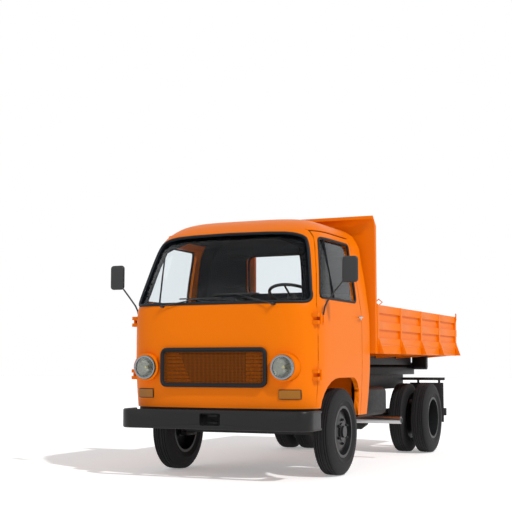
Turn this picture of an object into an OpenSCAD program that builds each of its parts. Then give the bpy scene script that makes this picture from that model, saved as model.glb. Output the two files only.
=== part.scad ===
// Light forward-control dump truck: X to its left, -Y forward, Z up, on the ground at mid length.

/* [Overall] */
// Front axle to the bumper's front face
front_overhang = 925; // [850:5:1050]
// Front axle to rear axle
wheelbase = 2850; // [2700:10:3100]
// Rear axle to the tips of the tailgate's gussets
rear_overhang = 1095; // [1000:5:1200]

/* [Wheels] */
// Tyre outer radius
tyre_r = 381; // [360:1:390]
// Tyre width at the sidewalls
tyre_w = 184; // [160:2:200]
// Tread width
tread_w = 124; // [90:2:140]
// Tyre bore, on the rim
rim_r = 216; // [200:1:225]
// Rim width over the flanges
rim_w = 154; // [146:1:160]
// Sheet of rims and discs
rim_t = 12; // [8:1:18]
// Front tread centre from mid
front_track_half = 786; // [770:1:800]
// Outer rear tread centre from mid
rear_track_half = 828; // [810:1:850]
// Twin tyres, centre to centre
twin_pitch = 251; // [225:1:270]
// Hub radius
hub_r = 78; // [65:1:90]
// Front stub axle radius
front_stub_r = 25; // [20:1:30]
// Rear spindle radius
rear_stub_r = 30; // [25:1:36]
// Running clearance of shafts and pins
run_clear = 0.05; // [0.02:0.01:0.1]
// Gap between moving faces
face_gap = 5; // [3:0.5:8]
// Mudflaps behind the rear tyres
flap_gap = 114; // [80:2:140]

/* [Front axle] */
// Kingpin from mid
kingpin_x = 690; // [670:1:700]
// Kingpin radius
kingpin_r = 16; // [12:1:20]
// Axle beam height
beam_h = 70; // [50:1:90]
// Axle beam depth
beam_d = 60; // [40:1:80]
// Knuckle ear thickness
ear_t = 30; // [20:1:40]
// Steering arm length
arm_l = 150; // [120:5:165]

/* [Drive and springs] */
// Half width of the engine
engine_w = 280; // [240:5:300]
// Rear end of the gearbox
gearbox_y = 860; // [800:5:900]
// Rear axle tube radius
axle_tube_r = 50; // [40:1:60]
// Front spring length
front_spring_l = 860; // [780:10:900]
// Rear spring length
rear_spring_l = 1060; // [960:10:1150]

/* [Frame] */
// Rail outer face from mid
rail_x = 420; // [400:5:440]
// Rail flange width
rail_w = 60; // [40:2:80]
// Rail sheet
rail_t = 8; // [5:1:12]
// Underside of the front rails
front_rail_z = 555; // [540:5:570]
// Height of the front rails
front_rail_h = 110; // [90:5:115]
// Underside of the rear rails
rear_rail_z = 700; // [680:5:720]
// Height of the rear rails
rear_rail_h = 155; // [120:5:170]
// Front end of the rails
rail_front_y = -780; // [-820:5:-760]
// Rear end of the rails, ahead of the pivot
rail_short = 400; // [350:5:450]
// Crossmember radius
cross_r = 35; // [25:1:45]
// Height of the tipping subframe
sub_h = 80; // [60:1:90]
// Tipping pivot, ahead of the bed's rear end
pivot_in = 120; // [90:5:180]
// Pivot height above the subframe
pivot_rise = 20; // [10:1:40]
// Pivot shaft radius
pivot_r = 22; // [18:1:28]
// Outer end of the pivot shaft
pivot_end_x = 600; // [560:5:640]

/* [Cab] */
// Wall of the cab and doors
cab_wall = 42; // [34:1:50]
// Squareness of the cab's plan
cab_power = 4.5; // [3.5:0.1:6]
// Length of the rounded nose
cab_nose = 560; // [480:5:640]
// Radius of the rear corners
cab_rear_r = 45; // [30:1:80]
// Underside of the nose
nose_z = 605; // [590:1:640]
// Underside of the sills
sill_z = 512; // [511:1:560]
// Waist line
waist_z = 1468; // [1440:1:1500]
// Split between pillars and roof
roof_z = 2142; // [2136:1:2150]
// Door front edge
door_front_y = -636; // [-650:1:-620]
// Door rear edge
door_rear_y = 430; // [400:1:450]
// Gap around the doors
door_gap = 8; // [6:0.5:12]
// Rake of the pillars, per unit of height
pillar_rake = 0.372; // [0.3:0.001:0.45]
// Width of the screen pillars
pillar_w = 62; // [45:1:80]
// Foot of the windscreen
screen_z = 1496; // [1480:1:1520]
// Top of the windscreen
screen_top_z = 2124; // [2100:1:2128]
// Glass thickness
glass_t = 6; // [4:0.5:10]
// Depth of the glass below the skin
glass_in = 12; // [6:1:20]
// Seat of a glass in its opening
glass_gap = 0.3; // [0.1:0.1:0.8]
// Wheel arch top
arch_z = 857; // [840:1:880]
// Wheel arch front foot
arch_front_y = -574; // [-590:1:-540]
// Wheel arch rear edge
arch_rear_y = 368; // [364:1:375]
// Wheel arch corner radius
arch_r = 190; // [120:5:220]
// Length of the arch's rise at its front
arch_rise = 394; // [340:1:420]
// Sheet of floor and wheel houses
floor_t = 15; // [8:1:20]
// Cab floor top ahead of the wheels
floor_z = 690; // [680:1:710]
// Wheel house top
house_z = 890; // [880:1:920]
// Half width of the engine tunnel
tunnel_w = 350; // [320:5:356]
// Tunnel top
tunnel_z = 1060; // [1040:5:1100]
// Room between the cab and the frame
rail_gap = 15; // [10:1:25]
// Outer edge of the wheel houses
house_w = 785; // [770:1:792]
// Underside of the dashboard
dash_z = 1190; // [1150:5:1250]

/* [Front] */
// Bumper underside
bumper_z = 433; // [400:1:460]
// Bumper height
bumper_h = 149; // [120:1:160]
// Bumper half width
bumper_w = 895; // [860:1:930]
// Bumper corner radius
bumper_r = 120; // [80:1:150]
// Bumper thickness
bumper_t = 28; // [15:1:40]
// Bumper rear ends
bumper_end_y = -640; // [-680:5:-600]
// Grille half width
grille_w = 496; // [450:1:520]
// Grille underside
grille_z = 787; // [770:1:800]
// Grille height
grille_h = 321; // [300:1:340]
// Grille frame bar
grille_bar = 28; // [20:1:36]
// Grille frame front face
grille_y = -872; // [-890:1:-868]
// Grille slats
grille_slats = 9; // [5:1:14]
// Headlamp place outside the grille
lamp_out = 154; // [150:1:170]
// Headlamp height
lamp_z = 949; // [930:1:970]
// Headlamp lens radius
lamp_r = 92; // [80:1:100]
// Headlamp bezel radius
bezel_r = 120; // [110:1:130]
// Headlamp front
lamp_y = -905; // [-915:1:-895]
// Indicator place from mid
blinker_x = 683; // [670:1:700]
// Half width and half height of the indicators
blinker_w = 85; // [70:1:95]
blinker_h = 35; // [25:1:40]
// Indicator height
blinker_z = 724; // [710:1:740]
// Stand of the indicators off the nose
blinker_out = 14; // [8:1:20]

/* [Bed] */
// Bed half width
bed_w = 930; // [900:1:950]
// Bed front, from the front axle
bed_front_y = 785; // [770:1:800]
// Reach of the tailgate's gussets
gate_gusset = 73; // [50:1:90]
// Tailgate sheet
gate_t = 27; // [18:1:36]
// Bed underside
bed_z = 1077; // [1070:1:1090]
// Bed floor top
bed_floor_z = 1160; // [1140:1:1180]
// Top of the sides
bed_top_z = 1544; // [1500:1:1600]
// Thickness of side and tail boards
board_t = 45; // [35:1:55]
// Depth of the recesses in the boards
recess = 18; // [8:1:25]
// Half width, bottom and top of the cab's rear window
back_win_w = 375; // [350:5:400]
back_win_z0 = 1662; // [1640:1:1680]
back_win_z1 = 2052; // [2020:1:2060]
// Half width of the opening in the headboard
head_win_w = 336; // [300:1:350]
// Headboard thickness
head_t = 50; // [40:1:60]
// Headboard height
head_z = 2300; // [2250:5:2350]
// Visor reach ahead of the headboard
visor_l = 105; // [60:5:110]
// Visor rise above the headboard
visor_h = 91; // [60:1:120]
// Depth of the bed runners below the bed
runner_h = 107; // [90:1:115]
// Width of posts
post_w = 48; // [35:1:60]
// Reach of the gussets
gusset = 60; // [40:1:80]
// Tailgate pin radius
gate_pin_r = 11; // [8:1:14]

/* [Lift] */
// Ram foot, from the front axle
ram_foot_y = 1200; // [1150:5:1250]
// Ram foot height
ram_foot_z = 640; // [620:5:660]
// Ram head, from the front axle
ram_head_y = 2600; // [2500:10:2700]
// Ram head height
ram_head_z = 985; // [970:1:1000]
// Ram barrel radius
ram_r = 55; // [45:1:65]
// Ram rod radius
ram_rod_r = 34; // [25:1:40]
// Ram ball radius
ram_ball_r = 40; // [34:1:46]
// Width of the ram's eye
ram_eye_w = 60; // [40:1:80]
// Ram foot pin radius
ram_pin_r = 16; // [12:1:20]

/* [Hidden] */
$fn = 48;
overall = front_overhang + wheelbase + rear_overhang;
rear_y = wheelbase + rear_overhang;
bed_rear_y = rear_y - gate_gusset - gate_t - face_gap;
pivot_y = bed_rear_y - pivot_in;
rail_rear_y = pivot_y - rail_short;
hitch_y = rail_rear_y - 50;
flap_y = wheelbase + tyre_r + flap_gap;
front_axle_y = front_overhang - overall / 2;
rear_rail_top = rear_rail_z + rear_rail_h;
sub_z = rear_rail_top;
pivot_z = sub_z + sub_h + pivot_rise;
rail_in = rail_x - rail_w;
lamp_x = grille_w + lamp_out;
// Cab sections: height, half width, front, rear
cab_rows = [
  [510, 872, -835, 655],
  [760, 888, -852, 682],
  [1000, 895, -860, 697],
  [1250, 895, -860, 700],
  [1440, 890, -853, 700],
  [1490, 884, -838, 698],
  [1750, 852, -722, 690],
  [1980, 814, -619, 684],
  [2070, 802, -560, 682],
  [2135, 772, -508, 682],
  [2185, 742, -435, 680],
  [2225, 684, -360, 656],
  [2255, 586, -270, 590],
  [2275, 436, -135, 460],
  [2284, 270, -20, 340]
];
cab_turns = [0, 0.5, 2, 5, 10, 18, 30, 45, 60, 72, 80, 85, 88, 89.5];
// Hinge heights: foot, top
hinge_rows = [[840, 930], [1310, 1400]];
hinge_x = 899;
hinge_y = door_front_y - door_gap / 2;
hinge_r = 12;
hinge_pin_r = 6;
fit = 0.3;
post_ys = [for (i = [0:4]) bed_front_y + post_w / 2 + i * (bed_rear_y - bed_front_y - post_w) / 4];

module place() translate([0, front_axle_y, 0]) children();

module both() {
  children();
  mirror([1, 0, 0]) children();
}

module box(a, b) translate(a) cube(b - a);

module rod(p, q, r) {
  d = q - p;
  l = norm(d);
  translate(p) rotate([0, acos(d[2] / l), atan2(d[1], d[0])]) cylinder(h = l, r = r);
}

// A bar along X
module bar_x(x0, x1, y, z, r) translate([x0, y, z]) rotate([0, 90, 0]) cylinder(h = x1 - x0, r = r);

// A side view, drawn as y and z, from x0 to x1
module side_view(x0, x1) translate([x0, 0, 0]) rotate([90, 0, 90]) linear_extrude(x1 - x0) children();

// A front view, drawn as x and z, from y0 to y1
module front_view(y0, y1) translate([0, y1, 0]) rotate([90, 0, 0]) linear_extrude(y1 - y0) children();

module round_rect(x0, y0, x1, y1, r) {
  translate([x0 + r, y0]) square([x1 - x0 - 2 * r, y1 - y0]);
  translate([x0, y0 + r]) square([x1 - x0, y1 - y0 - 2 * r]);
  for (x = [x0 + r, x1 - r], y = [y0 + r, y1 - r]) translate([x, y]) circle(r);
}

// Frame

module rail_shape(e) {
  polygon([
    [rail_front_y, front_rail_z + e], [720, front_rail_z + e], [1000, rear_rail_z + e],
    [rail_rear_y, rear_rail_z + e], [rail_rear_y, rear_rail_top - e], [980, rear_rail_top - e],
    [700, front_rail_z + front_rail_h - e], [rail_front_y, front_rail_z + front_rail_h - e]
  ]);
}

module frame_rails() place() color("dimgray") both() difference() {
  side_view(rail_in, rail_x) rail_shape(0);
  side_view(rail_in - 1, rail_x - rail_t) rail_shape(rail_t);
}

// Crossmembers: y, z
cross_rows = [[-730, front_rail_z + 43], [ram_foot_y - 110, 750], [ram_head_y - 350, 760], [hitch_y, 760]];
mount_h = 60;

module frame_crossmembers() place() color("dimgray") {
  for (c = cross_rows) bar_x(-rail_x + rail_t, rail_x - rail_t, c[0], c[1], cross_r);
  ram_foot_bracket();
  both() {
    for (y = [-300, 300])
      box([engine_w, y, front_rail_z + 20], [rail_x - rail_t, y + 60, front_rail_z + 20 + mount_h]);
    box([rail_in + 5, -700, front_rail_z + front_rail_h], [rail_x - 5, -650, floor_z - floor_t]);
    box([rail_in + 5, 500, front_rail_z + front_rail_h], [rail_x - 5, 540, house_z - floor_t]);
  }
}

// Two cheeks and a pin that carry the ram's foot
module ram_foot_bracket() {
  both() side_view(ram_eye_w / 2 + face_gap, ram_eye_w / 2 + face_gap + 14) polygon([
    [ram_foot_y - 145, 775], [ram_foot_y - 80, 775], [ram_foot_y + 38, ram_foot_z + 15],
    [ram_foot_y + 38, ram_foot_z - 34], [ram_foot_y - 38, ram_foot_z - 34], [ram_foot_y - 145, 715]
  ]);
  bar_x(-ram_eye_w / 2 - face_gap - 14, ram_eye_w / 2 + face_gap + 14, ram_foot_y, ram_foot_z, ram_pin_r);
}

module subframe() place() color("dimgray") {
  both() {
    box([rail_in, 960, sub_z], [rail_x, pivot_y + 70, sub_z + sub_h]);
    side_view(rail_in, rail_x) {
      translate([pivot_y, pivot_z]) circle(42);
      translate([pivot_y - 42, sub_z + sub_h - 5]) square([84, pivot_rise + 5]);
    }
  }
  for (y = [1000, rail_rear_y - 20]) box([-rail_in, y, sub_z], [rail_in, y + 60, sub_z + sub_h]);
  bar_x(-pivot_end_x, pivot_end_x, pivot_y, pivot_z, pivot_r);
}

// Front

module bumper_plan(e) difference() {
  round_rect(-bumper_w + e, -front_overhang + e, bumper_w - e, -front_overhang + 900, bumper_r - e);
  translate([-1000, bumper_end_y]) square([2000, 900]);
}

module front_bumper() place() color("dimgray") {
  difference() {
    translate([0, 0, bumper_z]) linear_extrude(bumper_h) difference() {
      bumper_plan(0);
      translate([0, 0.01]) bumper_plan(bumper_t);
    }
    front_view(-front_overhang - 10, -front_overhang + 100) round_rect(-95, bumper_z + 28, 95, bumper_z + 128, 12);
  }
  both() box([rail_in + 5, -front_overhang + bumper_t, front_rail_z - 55], [rail_x - 5, rail_front_y + 120, front_rail_z]);
}

jaw_r = 16;
module tow_jaw() place() color("dimgray") difference() {
  union() {
    box([-45, -front_overhang + 50, bumper_z + 40], [45, -770, bumper_z + 58]);
    box([-45, -front_overhang + 50, bumper_z + 98], [45, -770, bumper_z + 116]);
    box([-120, -805, bumper_z + 15], [120, -730 - cross_r, front_rail_z + 47]);
  }
  translate([0, -front_overhang + 75, bumper_z]) cylinder(h = 200, r = jaw_r);
}

hitch_r = 20;
module tow_hitch() place() color("dimgray") difference() {
  union() {
    box([-60, hitch_y + cross_r, 690], [60, hitch_y + cross_r + 20, 830]);
    box([-35, hitch_y + cross_r + 20, 745], [35, hitch_y + cross_r + 90, 775]);
    translate([0, hitch_y + cross_r + 90, 745]) cylinder(h = 30, r = 45);
  }
  translate([0, hitch_y + cross_r + 90, 700]) cylinder(h = 100, r = hitch_r);
}

// Axles, springs and drive

module front_axle() place() color("dimgray") {
  difference() {
    union() {
      box([-kingpin_x, -beam_d / 2, tyre_r - beam_h / 2], [kingpin_x, beam_d / 2, tyre_r + beam_h / 2]);
      both() translate([kingpin_x, 0, tyre_r - beam_h / 2]) cylinder(h = beam_h, r = beam_d / 2 + 4);
    }
    both() translate([kingpin_x, 0, 0]) cylinder(h = 900, r = kingpin_r + run_clear);
  }
}

module knuckle() {
  h = beam_h / 2 + face_gap;
  translate([kingpin_x, 0, tyre_r - h - ear_t]) cylinder(h = 2 * (h + ear_t), r = kingpin_r);
  for (z = [-h - ear_t, h]) translate([0, 0, tyre_r + z]) {
    translate([kingpin_x, 0, 0]) cylinder(h = ear_t, r = 30);
    box([kingpin_x, -28, 0], [kingpin_x + 62, 28, ear_t]);
  }
  box([kingpin_x + 42, -28, tyre_r - h], [kingpin_x + 62, 28, tyre_r + h]);
  bar_x(kingpin_x + 62, front_track_half + 40, 0, tyre_r, front_stub_r);
  box([kingpin_x - 16, 10, tyre_r - h - ear_t], [kingpin_x + 16, arm_l, tyre_r - h - ear_t + 20]);
}

module knuckle_left() place() color("gray") knuckle();
module knuckle_right() place() color("gray") mirror([1, 0, 0]) knuckle();

module rear_axle() place() color("dimgray") {
  bar_x(-560, 560, wheelbase, tyre_r, axle_tube_r);
  translate([0, wheelbase, tyre_r]) rotate([0, 90, 0]) rotate_extrude()
    polygon([[0, -120], [105, -120], [150, -55], [150, 55], [105, 120], [0, 120]]);
  rod(shaft_to, shaft_at(nose_l), 46);
  bar_x(-rear_track_half + 30, rear_track_half - 30, wheelbase, tyre_r, rear_stub_r);
}

// Leaves: half length as a share, place from the top leaf
leaf_rows = [[0.5, 0], [0.4, 1], [0.28, 2]];
leaf_t = 14;
leaf_w = 60;
spring_x = rail_x - rail_w / 2;
// Top of a pack at y, for a bend of radius r
function leaf_top(y, r) = r + 2 * leaf_t - sqrt((r - leaf_t) * (r - leaf_t) - y * y);

module leaf_pack(l, r) for (k = leaf_rows) intersection() {
  translate([0, 0, r + (2 - k[1]) * leaf_t]) rotate([0, 90, 0]) difference() {
    cylinder(h = leaf_w, r = r, center = true, $fn = 96);
    cylinder(h = leaf_w + 2, r = r - leaf_t, center = true, $fn = 96);
  }
  translate([-leaf_w, -l * k[0], -leaf_t]) cube([2 * leaf_w, 2 * l * k[0], 5 * leaf_t + l * l / 8 / r]);
}

// A hanger from a spring's end up to the rail
module spring_hanger(y, z, top) box([spring_x - 22, y - 24, z], [spring_x + 22, y + 24, top]);

// A pack on its axle, hung from the rail
module spring(l, r, z, top) {
  translate([spring_x, 0, z]) leaf_pack(l, r);
  for (y = [-1, 1]) spring_hanger(y * (l / 2 - 30), z + leaf_top(l / 2 - 6, r), top);
}

module front_springs() place() color("dimgray") both()
  spring(front_spring_l, 1500, tyre_r + beam_h / 2, front_rail_z);

module rear_springs() place() color("dimgray") both() translate([0, wheelbase, 0])
  spring(rear_spring_l, 1800, tyre_r + axle_tube_r, rear_rail_z);

module engine() place() color("gray") {
  box([-engine_w, -420, 580], [engine_w, gearbox_y - 380, 1020]);
  box([-120, gearbox_y - 380, 490], [120, gearbox_y, 690]);
}

// The shaft's line, from the gearbox to the axle's centre
shaft_from = [0, gearbox_y - 60, 575];
shaft_to = [0, wheelbase, tyre_r];
nose_l = 215;
function shaft_at(d) = shaft_to + d * (shaft_from - shaft_to) / norm(shaft_from - shaft_to);

module propshaft() place() color("gray") difference() {
  rod(shaft_from, shaft_at(nose_l), 38);
  box([-200, gearbox_y - 200, 300], [200, gearbox_y, 800]);
}

tank_l = 800;
module fuel_tank() place() color("dimgray") {
  box([rail_x, 760, 700], [rail_x + 20, 720 + tank_l, 740]);
  translate([rail_x + 20, 740, 470]) rotate([-90, 0, 0]) linear_extrude(tank_l) round_rect(0, -280, 330, 0, 60);
}

module battery_box() place() color("dimgray") box([-rail_x - 330, 800, 540], [-rail_x, 1250, 830]);

exhaust_r = 36;
exhaust_y = 1760;
exhaust_z = 400;
exhaust_end_x = 860;
module exhaust_pipe() place() color("silver") difference() {
  union() {
    bar_x(rail_in, exhaust_end_x, exhaust_y, exhaust_z, exhaust_r);
    translate([rail_in, exhaust_y, exhaust_z]) sphere(exhaust_r + 2);
    rod([rail_in, exhaust_y, exhaust_z], [250, 1450, 430], exhaust_r);
    rod([250, 1480, 430], [250, 1000, 430], 78);
    rod([250, 1010, 430], [250, gearbox_y - 368, 600], 30);
    box([rail_x - 40, exhaust_y - 20, exhaust_z + exhaust_r - 10], [rail_x - 28, exhaust_y + 20, rear_rail_z]);
  }
  bar_x(exhaust_end_x - 250, exhaust_end_x + 5, exhaust_y, exhaust_z, exhaust_r - 4);
}

module mudflaps() place() color("dimgray") both() {
  box([rail_x, flap_y - 30, 790], [915, flap_y, 822]);
  box([500, flap_y - 18, 310], [900, flap_y - 8, 762]);
  for (x = [600, 850]) box([x - 12, flap_y - 20, 750], [x + 12, flap_y - 6, 795]);
}

module tail_lamps() place() color("red") both() box([750, flap_y - 8, 385], [925, flap_y + 35, 470]);

// Wheels

module tyre() rotate([0, 90, 0]) rotate_extrude($fn = 64) polygon([
  [rim_r, -rim_w / 2 + 12], [rim_r + 84, -tyre_w / 2], [tyre_r - 19, -tread_w / 2 - 18], [tyre_r, -tread_w / 2],
  [tyre_r, tread_w / 2], [tyre_r - 19, tread_w / 2 + 18], [rim_r + 84, tyre_w / 2], [rim_r, rim_w / 2 - 12]
]);

// Rim ring with its flanges
module rim_ring() rotate([0, 90, 0]) rotate_extrude($fn = 64) polygon([
  [rim_r - rim_t, -rim_w / 2], [rim_r + 12, -rim_w / 2], [rim_r + 12, -rim_w / 2 + 6], [rim_r, -rim_w / 2 + 6],
  [rim_r, rim_w / 2 - 6], [rim_r + 12, rim_w / 2 - 6], [rim_r + 12, rim_w / 2], [rim_r - rim_t, rim_w / 2]
]);

// Disc from the hub, dished outward by d from the wheel's centre
module disc(d, lip) rotate([0, 90, 0]) rotate_extrude($fn = 64) polygon([
  [hub_r - 10, d - rim_t], [130, d - rim_t], [rim_r - rim_t - 4, lip], [rim_r - 2, lip], [rim_r - 2, lip + rim_t],
  [rim_r - rim_t, lip + rim_t], [132, d], [hub_r - 10, d]
]);

module wheel_front() {
  rim_ring();
  difference() {
    union() {
      disc(58, 20);
      rotate([0, 90, 0]) translate([0, 0, -24]) cylinder(h = 96, r = hub_r);
      rotate([0, 90, 0]) translate([0, 0, 72]) cylinder(h = 18, r = 52);
    }
    rotate([0, 90, 0]) translate([0, 0, -60]) cylinder(h = 105, r = front_stub_r + run_clear);
  }
}

module tyre_front_left() place() color("dimgray") translate([front_track_half, 0, tyre_r]) tyre();
module tyre_front_right() place() color("dimgray") translate([-front_track_half, 0, tyre_r]) tyre();
module wheel_front_left() place() color("gray") translate([front_track_half, 0, tyre_r]) wheel_front();
module wheel_front_right() place() color("gray") mirror([1, 0, 0]) translate([front_track_half, 0, tyre_r]) wheel_front();

module tyres_rear() for (x = [0, twin_pitch]) translate([rear_track_half - x, wheelbase, tyre_r]) tyre();

module wheels_rear() translate([rear_track_half, wheelbase, tyre_r]) difference() {
  union() {
    rim_ring();
    disc(-twin_pitch / 2 + rim_t, -rim_w / 2 + 2);
    translate([-twin_pitch, 0, 0]) {
      rim_ring();
      mirror([1, 0, 0]) disc(-twin_pitch / 2 + rim_t, -rim_w / 2 + 2);
    }
    bar_x(-twin_pitch / 2 - 70, -twin_pitch / 2 + 100, 0, 0, hub_r);
  }
  bar_x(-twin_pitch - 100, -twin_pitch / 2 + 98 - twin_pitch * 0, 0, 0, rear_stub_r + run_clear);
}

module tyres_rear_left() place() color("dimgray") tyres_rear();
module tyres_rear_right() place() color("dimgray") mirror([1, 0, 0]) tyres_rear();
module wheels_rear_left() place() color("gray") wheels_rear();
module wheels_rear_right() place() color("gray") mirror([1, 0, 0]) wheels_rear();

// Cab

function power(v, e) = sign(v) * pow(abs(v), e);

// A section's outline, drawn in by t
function cab_outline(row, t) =
  let (
    w = row[1] - t, f = row[2] + t, r = row[3] - t,
    c = f + min(cab_nose, (r - f) / 2),
    k = min(cab_rear_r, w / 3),
    turns = concat(cab_turns, [90], [for (i = [len(cab_turns) - 1:-1:0]) 180 - cab_turns[i]])
  )
  concat(
    [for (a = turns) [w * power(cos(a), 2 / cab_power), c - (c - f) * power(sin(a), 2 / cab_power)]],
    [for (a = [180:-22.5:90]) [-w + k + k * cos(a), r - k + k * sin(a)]],
    [for (a = [90:-22.5:0]) [w - k + k * cos(a), r - k + k * sin(a)]]
  );

module cab_slab(i, t) {
  row = cab_rows[i];
  low = i == 0 && t > 0 ? 5 : row[0] > 2000 ? t : 0;
  translate([0, 0, row[0] - low]) linear_extrude(1) polygon(cab_outline(row, t));
}

// The cab's whole form, drawn in by t
module cab_form(t) for (i = [0:len(cab_rows) - 2]) hull() {
  cab_slab(i, t);
  cab_slab(i + 1, t);
}

module cab_skin(outer, inner) difference() {
  cab_form(outer);
  cab_form(inner);
}

// Door and pillar edges lean back above the waist
function lean(z) = max(0, z - waist_z) * pillar_rake;

// Everything ahead of a line that follows the door's front edge
module ahead(y) side_view(-1200, 1200) polygon([
  [-1300, 300], [y, 300], [y, waist_z], [y + lean(2300), 2300], [-1300, 2300]
]);

module door_side(e) polygon([
  [door_front_y + e, nose_z + e], [door_front_y + e, waist_z],
  [door_front_y + lean(roof_z) + e, roof_z - door_gap - e], [door_rear_y - 60 - e, roof_z - door_gap - e],
  [door_rear_y - e, waist_z], [door_rear_y - e, sill_z + e], [arch_rear_y - 60, sill_z + e], [arch_rear_y - 60, nose_z + e]
]);

module arch_side(e) {
  z = arch_z + e;
  intersection() {
    union() {
      translate([arch_front_y - e + arch_rise, 0]) square([arch_rear_y + 2 * e - arch_front_y - arch_rise - arch_r, z]);
      translate([arch_front_y - e + arch_rise, 0]) square([arch_rear_y + 2 * e - arch_front_y - arch_rise, z - arch_r]);
      translate([arch_rear_y + e - arch_r, z - arch_r]) circle(arch_r);
      polygon(concat([[arch_front_y - e + arch_rise, 300], [arch_front_y - e, 300]],
        [for (a = [0:15:90]) [arch_front_y - e + arch_rise * (1 - cos(a)), nose_z + (z - nose_z) * sin(a)]]));
    }
    translate([-900, 250]) square([2000, z - 250]);
  }
}

window_front = 40;
module window_side(e) polygon([
  [door_front_y + lean(1540) + window_front + e, 1540 + e], [door_front_y + lean(2074) + window_front + e, 2074 - e],
  [306 - e, 2074 - e], [312 - e, 1540 + e]
]);

module screen_side(e) {
  y = door_front_y - pillar_w;
  intersection() {
    polygon(concat([[-1300, screen_z + e]],
      [for (a = [0:30:90]) [y + lean(screen_z + 95) - 95 + (95 - e) * sin(a), screen_z + 95 - (95 - e) * cos(a)]],
      [for (a = [90:-30:0]) [y + lean(screen_top_z - 66) - 66 + (66 - e) * sin(a),
        screen_top_z - 66 + (66 - e) * cos(a)]],
      [[-1300, screen_top_z - e]]));
    translate([-1300, 1000]) square([1600, 1300]);
  }
}

module cab_front() place() color("orange") difference() {
  intersection() {
    cab_skin(0, cab_wall);
    ahead(door_front_y - door_gap);
    box([-1200, -1200, nose_z], [1200, 600, roof_z]);
  }
  side_view(-1200, 1200) screen_side(0);
  front_view(-1000, -600) round_rect(-grille_w - fit, grille_z - fit, grille_w + fit, grille_z + grille_h + fit, 50 + fit);
  for (w = wiper_rows) translate([w[0], -900, wiper_z]) rotate([-90, 0, 0]) cylinder(h = 300, r = 12 + fit);
  both() lamp_hole(bezel_r + fit);
  both() box([blinker_x - blinker_w - 0.3, -1000, blinker_z - blinker_h - 0.3], [blinker_x + blinker_w + 0.3, -600, blinker_z + blinker_h + 0.3]);
  both() for (h = hinge_rows) for (z = [h[0], h[1] - 30])
    box([830 - 0.3, hinge_y - 60 - 0.3, z - 0.3], [hinge_x + 40, hinge_y + 30, z + 30.3]);
}

module lamp_hole(r) front_view(-1000, -500) translate([lamp_x, lamp_z]) circle(r);

module cab_roof() place() color("orange") intersection() {
  cab_skin(0, cab_wall);
  box([-1200, -1200, roof_z], [1200, 1200, 2300]);
}

module cab_rear() place() color("orange") difference() {
  intersection() {
    cab_skin(0, cab_wall);
    box([-1200, -600, sill_z], [1200, 1200, roof_z]);
  }
  side_view(-1200, 1200) polygon([
    [-1300, 300], [door_rear_y + door_gap, 300], [door_rear_y + door_gap, waist_z],
    [door_rear_y + door_gap - 60, roof_z + 1], [-1300, roof_z + 1]
  ]);
  front_view(500, 800) round_rect(-back_win_w, back_win_z0, back_win_w, back_win_z1, 60);
  box([-rail_x - rail_gap, 400, 400], [rail_x + rail_gap, 800, floor_z + rail_gap]);
}

module rear_window() place() color("lightblue") intersection() {
  cab_skin(glass_in, glass_in + glass_t);
  front_view(500, 800) round_rect(-back_win_w + glass_gap, back_win_z0 + glass_gap, back_win_w - glass_gap, back_win_z1 - glass_gap, 60);
}

module windscreen() place() color("lightblue") intersection() {
  cab_skin(glass_in, glass_in + glass_t);
  side_view(-1200, 1200) screen_side(glass_gap);
}

// Floor, wheel houses, tunnel and nose bulkhead, fitted to the cab's inside
module cab_floor() place() color("orange") intersection() {
  cab_form(cab_wall + fit);
  union() {
    y0 = arch_front_y - 26;
    box([-1000, -1000, floor_z - floor_t], [1000, door_front_y - door_gap - 4, floor_z]);
    box([-house_w, door_front_y - 20, floor_z - floor_t], [house_w, y0 + floor_t, floor_z]);
    box([-1000, -700, floor_z - floor_t], [1000, -700 + floor_t, dash_z - fit]);
    both() {
      box([tunnel_w, y0, floor_z - floor_t], [house_w, y0 + floor_t, house_z]);
      box([tunnel_w, y0, house_z - floor_t], [house_w, 450, house_z]);
      box([rail_x + rail_gap, 450 - floor_t, sill_z + 8], [house_w, 450, house_z]);
      box([tunnel_w, 450 - floor_t, floor_z], [house_w, 450, house_z]);
      box([tunnel_w - floor_t, y0, floor_z - floor_t], [tunnel_w, 1000, tunnel_z]);
      box([tunnel_w, 448, house_z - floor_t], [1000, 1000, house_z]);
    }
    box([-tunnel_w, y0, tunnel_z - floor_t], [tunnel_w, 1000, tunnel_z]);
    box([-tunnel_w, y0, floor_z - floor_t], [tunnel_w, y0 + floor_t, tunnel_z]);
  }
}

module dashboard() place() color("dimgray") difference() {
  intersection() {
    cab_form(cab_wall + fit);
    box([-1000, -1000, dash_z], [1000, -560, 1430]);
    ahead(door_front_y - door_gap - 6);
  }
  box([-1000, -640, 1100], [1000, -500, 1260]);
}

wheel_x = 480;
wheel_y = -250;
wheel_z = 1590;
wheel_tilt = 22;
column_r = 24;
column_l = (wheel_z - house_z - 0.4 - column_r * sin(wheel_tilt)) / cos(wheel_tilt);
module steering_wheel() place() color("dimgray") translate([wheel_x, wheel_y, wheel_z]) rotate([-wheel_tilt, 0, 0]) {
  rotate_extrude() translate([205, 0]) circle(14, $fn = 24);
  for (a = [30, 150, 270]) rotate([0, 0, a]) rod([30, 0, -30], [200, 0, 0], 9);
  translate([0, 0, -60]) cylinder(h = 50, r = 40);
  translate([0, 0, -column_l]) cylinder(h = column_l - 41.5, r = column_r);
}

module seats() place() color("dimgray") for (x = [-810, 365]) translate([x, 0, 0]) side_view(0, 445) polygon([
  [-230, house_z + fit], [300, house_z + fit], [450, 1640], [370, 1660], [250, 1130], [-230, 1110]
]);

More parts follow.
